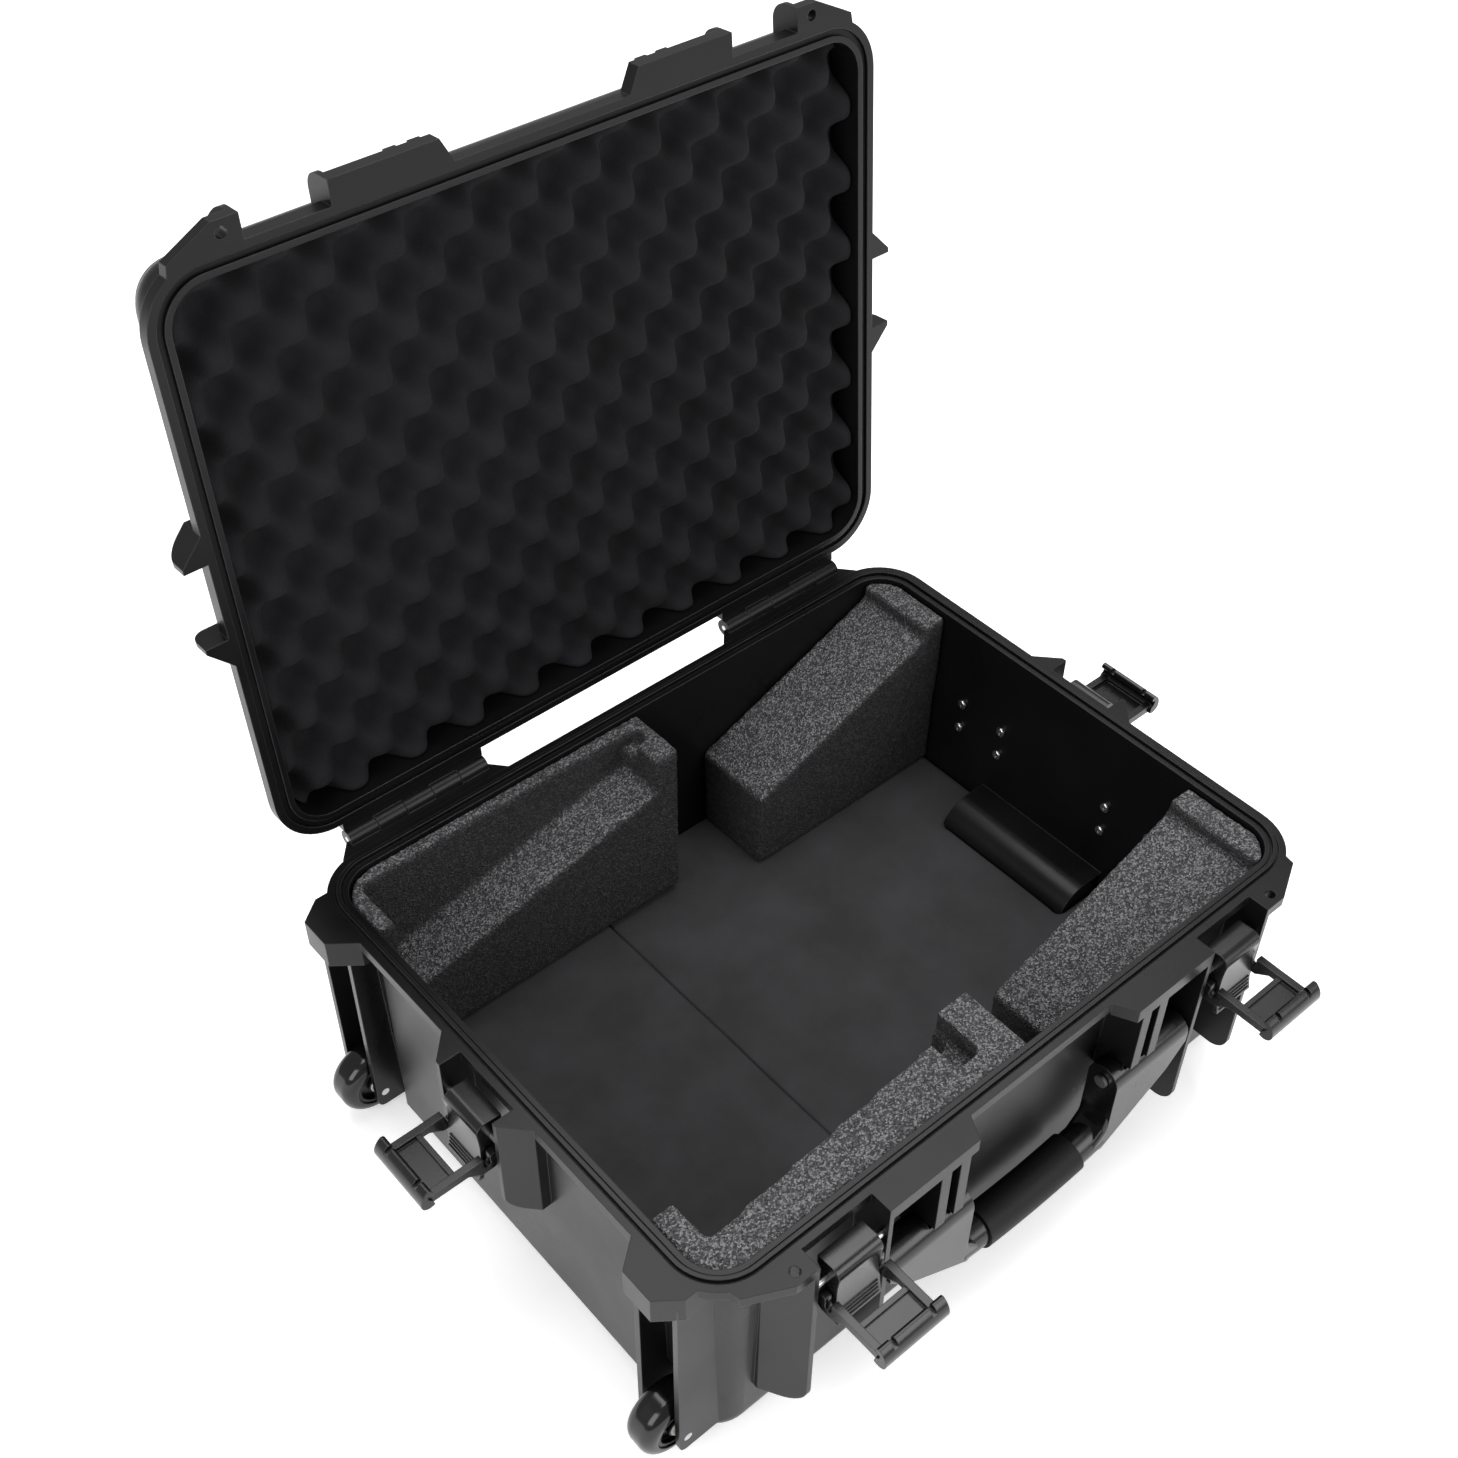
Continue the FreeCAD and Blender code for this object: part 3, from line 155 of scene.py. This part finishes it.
def moulded_plastic(name, colours, rough, grain_mm, depth, ior=1.49, gloss_level=0.2):
    """Moulded skin. colours are the darker patch, the paler patch and the painted edge highlight.
    """
    material, tree, shader, place = start_material(name)
    patches = add(tree, "ShaderNodeTexNoise", Vector=place, Scale=grains(60), Detail=4.0)
    grain = add(tree, "ShaderNodeTexNoise", Vector=place, Scale=grains(grain_mm), Detail=2.0)
    body = add(tree, "ShaderNodeValToRGB", Fac=patches.outputs["Fac"],
               stops=((0.3, colours[0]), (0.7, colours[1])))
    edge = add(tree, "ShaderNodeBevel", {"samples": 4}, Radius=EDGE_ROUND)
    flat = add(tree, "ShaderNodeNewGeometry")
    turned = add(tree, "ShaderNodeVectorMath", {"operation": "DOT_PRODUCT"})
    tree.links.new(edge.outputs["Normal"], turned.inputs[0])
    tree.links.new(flat.outputs["Normal"], turned.inputs[1])
    # Painted highlight: where the bevel normal turns away from the face normal, the colour is
    # mixed up to 0.8 of the way to the pale third colour.
    painted_edge_highlight = add(tree, "ShaderNodeMapRange", Value=turned.outputs["Value"],
                 From_Min=0.985, From_Max=0.80, To_Max=0.8)
    edge_highlight_mix = add(tree, "ShaderNodeMix", {"data_type": "RGBA"})
    tree.links.new(painted_edge_highlight.outputs["Result"], edge_highlight_mix.inputs[0])
    tree.links.new(body.outputs["Color"], edge_highlight_mix.inputs[6])
    edge_highlight_mix.inputs[7].default_value = linear(colours[2])
    tree.links.new(edge_highlight_mix.outputs[2], shader.inputs["Base Color"])
    gloss = add(tree, "ShaderNodeMapRange", Value=patches.outputs["Fac"],
                From_Min=0.3, From_Max=0.7, To_Min=rough - 0.04, To_Max=rough + 0.05)
    tree.links.new(gloss.outputs["Result"], shader.inputs["Roughness"])
    bump = add(tree, "ShaderNodeBump", Height=grain.outputs["Fac"], Strength=depth,
               Distance=0.0002, Normal=edge.outputs["Normal"])
    tree.links.new(bump.outputs["Normal"], shader.inputs["Normal"])
    shader.inputs["IOR"].default_value = ior
    shader.inputs["Specular IOR Level"].default_value = gloss_level
    return material


# The third colour of each plastic below is its painted edge highlight.
shell_plastic = moulded_plastic("spark_eroded_polypropylene",
                                ("#0c0c0d", "#111112", "#404043"), 0.30, 0.7, 0.35, 1.49, 0.22)
latch_plastic = moulded_plastic("glass_filled_nylon", ("#0d0d0e", "#111112", "#3c3c40"),
                                0.25, 0.9, 0.2, 1.53, 0.42)
grip_rubber = moulded_plastic("thermoplastic_rubber", ("#101011", "#151516", "#242426"),
                              0.50, 1.0, 0.5, 1.5)
hub_plastic = moulded_plastic("moulded_nylon_hub", ("#0d0d0e", "#111112", "#2a2a2c"),
                              0.28, 1.2, 0.15, 1.53)
bush_plastic = moulded_plastic("natural_acetal", ("#c9c7c0", "#d4d2cb", "#dddbd4"),
                               0.35, 1.2, 0.1, 1.48)
tread = moulded_plastic("cast_polyurethane_tread", ("#0b0b0c", "#0f0f10", "#202022"),
                        0.16, 2.5, 0.10, 1.5, 0.45)
seal_rubber = moulded_plastic("silicone_seal", ("#0d0d0e", "#121213", "#1c1c1d"),
                              0.42, 1.4, 0.2, 1.41)
print("plastics:", shell_plastic.name, latch_plastic.name)

# %% [markdown]
# ## Metals
# The pins and screws are steel with bright zinc on it, and the trolley tubes are satin
# anodised aluminium. A metal takes its colour from its reflections, so its base colour is
# its reflectance. The tubes were brushed along their length, which is drawn as a noise
# stretched a hundred times along X.

# %% Metals
def plated_steel():
    material, tree, shader, place = start_material("bright_zinc_plated_steel")
    noise = add(tree, "ShaderNodeTexNoise", Vector=place, Scale=grains(3), Detail=3.0)
    tone = add(tree, "ShaderNodeValToRGB", Fac=noise.outputs["Fac"],
               stops=((0.3, "#b9bbbd"), (0.7, "#d2d3d4")))
    tree.links.new(tone.outputs["Color"], shader.inputs["Base Color"])
    shader.inputs["Metallic"].default_value = 1.0
    shader.inputs["Roughness"].default_value = 0.28
    return material


def brushed_tube():
    material, tree, shader, place = start_material("satin_anodised_aluminium")
    stretch = add(tree, "ShaderNodeMapping", Vector=place, Scale=(0.01, 1.0, 1.0))
    lines = add(tree, "ShaderNodeTexNoise", Vector=stretch.outputs["Vector"], Scale=grains(0.6),
                Detail=2.0)
    tone = add(tree, "ShaderNodeValToRGB", Fac=lines.outputs["Fac"],
               stops=((0.3, "#8e9093"), (0.7, "#a3a5a8")))
    tree.links.new(tone.outputs["Color"], shader.inputs["Base Color"])
    bump = add(tree, "ShaderNodeBump", Height=lines.outputs["Fac"], Strength=0.25,
               Distance=0.0001)
    tree.links.new(bump.outputs["Normal"], shader.inputs["Normal"])
    shader.inputs["Metallic"].default_value = 1.0
    shader.inputs["Roughness"].default_value = 0.34
    return material


steel, tube_metal = plated_steel(), brushed_tube()
print("metals:", steel.name, tube_metal.name)

# %% [markdown]
# ## Foams
# The cut blocks are closed-cell polyethylene. A saw opens the cells, and each open cell is
# a tiny cup: its lit wall glints and its inside is dark, so the cut face looks speckled,
# most strongly where light falls from above. Voronoi cells about 1.2 mm across make the
# cups in the bump, and a second noise gives each one its own shade; in the colour this
# speckle is painted glint and painted shade. Faces that point up take a paler ramp than
# faces that point sideways: painted light from above. The floor pads are EVA sheet with a
# smooth skin, faintly scuffed. The lid sheet is open-cell polyurethane, almost black, with
# pores too fine to draw singly.

# %% Foam materials
def cut_block_foam():
    material, tree, shader, place = start_material("cut_polyethylene_foam")
    cells = add(tree, "ShaderNodeTexVoronoi", {"feature": "F1"}, Vector=place, Scale=grains(1.15))
    shade = add(tree, "ShaderNodeSeparateColor", Color=cells.outputs["Color"])
    fine = add(tree, "ShaderNodeTexNoise", Vector=place, Scale=grains(0.9), Detail=2.0)
    # Painted light from above: up-facing faces take the paler ramp, side faces the darker one.
    up = add(tree, "ShaderNodeNewGeometry")
    up_z = add(tree, "ShaderNodeSeparateXYZ", Vector=up.outputs["Normal"])
    painted_top_light = add(tree, "ShaderNodeMapRange", Value=up_z.outputs["Z"], From_Min=0.2, From_Max=0.9)
    # Painted glint and shade: each cell's random tone sets how bright its speck is.
    painted_glint_speckle = add(tree, "ShaderNodeMath", {"operation": "MULTIPLY"})
    tree.links.new(shade.outputs["Red"], painted_glint_speckle.inputs[0])
    tree.links.new(fine.outputs["Fac"], painted_glint_speckle.inputs[1])
    painted_lit_tops = add(tree, "ShaderNodeValToRGB", Fac=painted_glint_speckle.outputs["Value"],
               stops=((0.02, "#1d1d1e"), (0.27, "#3b3b3d"), (0.52, "#7c7c7f")))
    painted_shaded_sides = add(tree, "ShaderNodeValToRGB", Fac=painted_glint_speckle.outputs["Value"],
                stops=((0.02, "#101011"), (0.27, "#1e1e20"), (0.52, "#414144")))
    blend = add(tree, "ShaderNodeMix", {"data_type": "RGBA"})
    tree.links.new(painted_top_light.outputs["Result"], blend.inputs[0])
    tree.links.new(painted_shaded_sides.outputs["Color"], blend.inputs[6])
    tree.links.new(painted_lit_tops.outputs["Color"], blend.inputs[7])
    tree.links.new(blend.outputs[2], shader.inputs["Base Color"])
    bump = add(tree, "ShaderNodeBump", Height=cells.outputs["Distance"], Strength=0.9,
               Distance=0.0012)
    tree.links.new(bump.outputs["Normal"], shader.inputs["Normal"])
    shader.inputs["Roughness"].default_value = 0.72
    return material


def sheet_foam(name, stops, patch_mm, pore_mm, depth, rough):
    """Foam with a fine pore and broad, faint patches."""
    material, tree, shader, place = start_material(name)
    patches = add(tree, "ShaderNodeTexNoise", Vector=place, Scale=grains(patch_mm), Detail=6.0,
                  Roughness=0.6)
    pores = add(tree, "ShaderNodeTexNoise", Vector=place, Scale=grains(pore_mm), Detail=2.0)
    tone = add(tree, "ShaderNodeValToRGB", Fac=patches.outputs["Fac"], stops=stops)
    tree.links.new(tone.outputs["Color"], shader.inputs["Base Color"])
    bump = add(tree, "ShaderNodeBump", Height=pores.outputs["Fac"], Strength=depth,
               Distance=0.0005)
    tree.links.new(bump.outputs["Normal"], shader.inputs["Normal"])
    shader.inputs["Roughness"].default_value = rough
    shader.inputs["Specular IOR Level"].default_value = 0.25
    return material


block_foam = cut_block_foam()
pad_foam = sheet_foam("skinned_eva_sheet", ((0.34, "#2c2c2d"), (0.66, "#363638")), 55, 1.0, 0.35,
                      0.88)
crate_foam = sheet_foam("convoluted_polyurethane_foam", ((0.3, "#131315"), (0.7, "#1a1a1d")),
                        40, 1.1, 0.8, 0.95)
print("foams:", block_foam.name, pad_foam.name, crate_foam.name)

# %% [markdown]
# ## Dress the CAD pieces
# Each CAD piece names its material slot in the record, so one table gives every piece its
# finish. That is safer than listing pieces by hand, because none can be forgotten.

# %% Finishes by slot
finish = {"shell_plastic": shell_plastic, "latch_plastic": latch_plastic,
          "grip_rubber": grip_rubber, "steel": steel, "tube_aluminium": tube_metal,
          "gasket_rubber": seal_rubber, "block_foam": block_foam, "pad_foam": pad_foam,
          "lid_foam": crate_foam, "wheel_tread": tread, "wheel_hub_plastic": hub_plastic,
          "bush_plastic": bush_plastic}
for part in frame["record"]["subparts"]:
    mesh = nodes[part["node"]].data
    mesh.materials.clear()
    mesh.materials.append(finish[part["material_slot"]])

# %% [markdown]
# ## Foam cut from blocks
# A saw leaves foam with softened arrises and a slightly wandering face. CAD already holds
# each block's true outline, so a merged copy of it is remeshed into small even faces and each
# point is moved along its normal by a smooth noise. Modelling the blocks afresh would only
# repeat their outlines. The floor pads get the same treatment with a finer hand.

# %% Foam blocks
INSET = 0.6                     # keeps nearly all of each wandering face inside its block
SAME_POINT = 1e-6               # metres, points this near are one point


def wander(points, wave_mm, seed):
    """Smooth pseudo-random value from -1 to 1: the mean of six sine waves that run in
    seeded directions, with lengths near wave_mm."""
    rng = np.random.default_rng(seed)
    total = np.zeros(len(points))
    for _ in range(6):
        direction = rng.normal(size=3)
        direction *= 2 * math.pi * 1000 / (wave_mm * rng.uniform(0.7, 1.4)
                                           * np.linalg.norm(direction))
        total += np.sin(points @ direction + rng.uniform(0, 6.28))
    return total / 6


def foam_piece(node, voxel, move, wave_mm, seed):
    """Copy of a CAD block, remeshed and softened. Each point then moves along its normal by
    (wander - INSET) * move, which sinks nearly all of the face a little."""
    mesh = nodes[node].data.copy()
    merged = bmesh.new()
    merged.from_mesh(mesh)
    bmesh.ops.remove_doubles(merged, verts=merged.verts, dist=SAME_POINT)
    merged.to_mesh(mesh)
    merged.free()
    piece = bpy.data.objects.new(node + "_cut", mesh)
    bpy.context.scene.collection.objects.link(piece)
    remesh = piece.modifiers.new("even_faces", "REMESH")
    remesh.mode, remesh.voxel_size, remesh.use_smooth_shade = "VOXEL", voxel, True
    smooth = piece.modifiers.new("soft_arris", "SMOOTH")
    smooth.factor, smooth.iterations = 0.5, 3
    bpy.context.view_layer.update()
    depsgraph = bpy.context.evaluated_depsgraph_get()
    made = bpy.data.meshes.new_from_object(piece.evaluated_get(depsgraph))
    piece.modifiers.clear()
    piece.data = made
    count = len(made.vertices)
    place, normal = np.zeros(count * 3), np.zeros(count * 3)
    made.vertices.foreach_get("co", place)
    made.vertices.foreach_get("normal", normal)
    place, normal = place.reshape(-1, 3), normal.reshape(-1, 3)
    place += normal * ((wander(place, wave_mm, seed) - INSET) * move)[:, None]
    made.vertices.foreach_set("co", place.ravel())
    made.update()
    made.materials.clear()
    made.materials.append(finish[slot_of[node]])
    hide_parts(node)
    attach(piece, "base")
    return piece


slot_of = {p["node"]: p["material_slot"] for p in frame["record"]["subparts"]}
for number, name in enumerate(("foam_back_left", "foam_back_right", "foam_front_left",
                               "foam_front_right")):
    made = foam_piece(name, 0.0025, 0.0005, 7, 10 + number)
    print(name, len(made.data.polygons), "faces")
for number, name in enumerate(("floor_pad_left", "floor_pad_right")):
    made = foam_piece(name, 0.0030, 0.0003, 60, 20 + number)
    print(name, len(made.data.polygons), "faces")
for number, name in enumerate(n for n in nodes if n.startswith("foam_riser")):
    made = foam_piece(name, 0.0050, 0.0003, 20, 30 + number)
    print(name, len(made.data.polygons), "faces")

# %% [markdown]
# ## The egg-crate sheet in the lid
# Convoluted foam is a flat slab squeezed between studded rollers as a blade splits it, and
# it springs back into rows of rounded peaks, each row shifted by half a step. A product of
# two sines has exactly that layout. The sheet is drawn on the shut lid, where it is flat,
# and then swung open with the lid.

# %% Egg-crate sheet
hinge_y, rim_z, open_turn = 0.2185, 0.198, math.radians(-94.6)
half_x, half_y, corner = 0.2478, 0.1885, 0.024
back_z, valley_z, peak_z = 0.2445, 0.2240, 0.2035
step_x, step_y = 0.0472, 0.0512


def rounded_plan(s, t):
    """Square grid (-1 to 1) to a rounded rectangle. Inside a corner's square the local
    place (p, q) becomes (p sqrt(1 - q^2 / 2), q sqrt(1 - p^2 / 2)), a quarter disc."""
    x, y = s * half_x, t * half_y
    p = np.clip((np.abs(x) - half_x + corner) / corner, 0, 1)
    q = np.clip((np.abs(y) - half_y + corner) / corner, 0, 1)
    in_x, in_y = p > 0, q > 0
    both = in_x & in_y
    nx = np.where(both, half_x - corner + corner * p * np.sqrt(1 - q * q / 2), np.abs(x))
    ny = np.where(both, half_y - corner + corner * q * np.sqrt(1 - p * p / 2), np.abs(y))
    return np.sign(s) * nx, np.sign(t) * ny


def crate_height(x, y):
    """Peaks and hollows: sin(2 pi x / step) * sin(2 pi y / step), rounded off at its
    extremes by a sine, from -1 in a hollow to 1 on a peak."""
    wave = np.sin(2 * math.pi * x / step_x) * np.sin(2 * math.pi * y / step_y)
    return np.sin(wave * math.pi / 2 * 0.92)


def grid_faces(rows, columns, offset, flip):
    """Quads of a rows x columns grid of points, wound the other way if flip."""
    a = (np.arange(rows - 1)[:, None] * columns + np.arange(columns - 1)[None, :]).ravel()
    a = a + offset
    quads = np.stack((a, a + 1, a + columns + 1, a + columns), 1)
    return quads[:, ::-1] if flip else quads


rows, columns = 190, 250
t, s = np.meshgrid(np.linspace(-1, 1, rows), np.linspace(-1, 1, columns), indexing="ij")
x, y = rounded_plan(s, t)
height = crate_height(x, y)
face_z = (valley_z + peak_z) / 2 - (valley_z - peak_z) / 2 * height
face = np.stack((x, y, face_z), 2).reshape(-1, 3)
back = np.stack((x, y, np.full_like(x, back_z)), 2).reshape(-1, 3)
edge = np.concatenate((np.arange(columns), np.arange(1, rows) * columns + columns - 1,
                       (rows - 1) * columns + np.arange(columns - 2, -1, -1),
                       np.arange(rows - 2, 0, -1) * columns))
following = np.roll(edge, -1)
total = rows * columns
wall = np.stack((edge, edge + total, following + total, following), 1)
faces = np.concatenate((grid_faces(rows, columns, 0, True),
                        grid_faces(rows, columns, total, False), wall[:, ::-1]))
points = np.concatenate((face, back))
dy, dz = points[:, 1] - hinge_y, points[:, 2] - rim_z
points[:, 1] = hinge_y + dy * math.cos(open_turn) - dz * math.sin(open_turn)
points[:, 2] = rim_z + dy * math.sin(open_turn) + dz * math.cos(open_turn)
crate_mesh = bpy.data.meshes.new("egg_crate_sheet")
crate_mesh.from_pydata(points.tolist(), [], faces.tolist())
crate_mesh.polygons.foreach_set("use_smooth", np.ones(len(faces), bool))
crate_mesh.materials.append(crate_foam)
crate_mesh.validate()
crate = bpy.data.objects.new("egg_crate_sheet", crate_mesh)
bpy.context.scene.collection.objects.link(crate)
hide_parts("lid_foam")
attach(crate, "lid")
print("egg crate:", len(faces), "faces")

# %% [markdown]
# ## Floor and light
# A pale floor and large soft lights, as in a catalogue studio. Black plastic shows only
# what it reflects, and it sends back about a twenty-fifth of that, so a bright room would
# turn it grey. The room is therefore dim, the floor glows faintly like a light table to
# stay white, and the light comes from wide panels: a large one overhead for the bright
# edges, and one at the left and one at the front to draw the walls.

# %% Floor and lights
floor_material, tree, shader, place = start_material("pale_studio_paper")
tooth = add(tree, "ShaderNodeTexNoise", Vector=place, Scale=grains(8), Detail=3.0)
tone = add(tree, "ShaderNodeValToRGB", Fac=tooth.outputs["Fac"],
           stops=((0.3, "#f3f3f3"), (0.7, "#f7f7f7")))
tree.links.new(tone.outputs["Color"], shader.inputs["Base Color"])
shader.inputs["Emission Color"].default_value = (1, 1, 1, 1)
shader.inputs["Emission Strength"].default_value = 0.40
shader.inputs["Roughness"].default_value = 0.9
floor_mesh = bpy.data.meshes.new("studio_floor")
reach = 60.0                    # metres, and a low view still shows its far edge
floor_mesh.from_pydata([(-reach, -reach, 0), (reach, -reach, 0), (reach, reach, 0),
                        (-reach, reach, 0)], [], [(0, 1, 2, 3)])
floor_mesh.materials.append(floor_material)
floor = bpy.data.objects.new("studio_floor", floor_mesh)
bpy.context.scene.collection.objects.link(floor)


def soft_panel(name, at, size, watts):
    """Square light facing the middle of the case."""
    data = bpy.data.lights.new(name, "AREA")
    data.shape, data.size, data.energy = "SQUARE", size, watts
    lamp = bpy.data.objects.new(name, data)
    away = np.array(at) - np.array((0.0, 0.05, 0.25))
    away /= np.linalg.norm(away)
    side = np.cross((0, 0, 1), away)
    side /= np.linalg.norm(side)
    lamp_matrix = np.eye(4)
    lamp_matrix[:3, 0], lamp_matrix[:3, 1] = side, np.cross(away, side)
    lamp_matrix[:3, 2], lamp_matrix[:3, 3] = away, at
    lamp.matrix_world = Matrix(lamp_matrix.tolist())
    bpy.context.scene.collection.objects.link(lamp)


soft_panel("overhead_panel", (0.5, 0.9, 3.4), 3.0, 120)
soft_panel("left_panel", (-2.0, -0.3, 1.3), 1.4, 26)
soft_panel("front_panel", (0.8, -2.0, 1.4), 1.4, 26)
world = bpy.data.worlds.new("studio_air")
world.use_nodes = True
world.node_tree.nodes["Background"].inputs["Color"].default_value = (1, 1, 1, 1)
world.node_tree.nodes["Background"].inputs["Strength"].default_value = 0.45
bpy.context.scene.world = world
bpy.context.scene.view_settings.view_transform = "Standard"
print("lights placed")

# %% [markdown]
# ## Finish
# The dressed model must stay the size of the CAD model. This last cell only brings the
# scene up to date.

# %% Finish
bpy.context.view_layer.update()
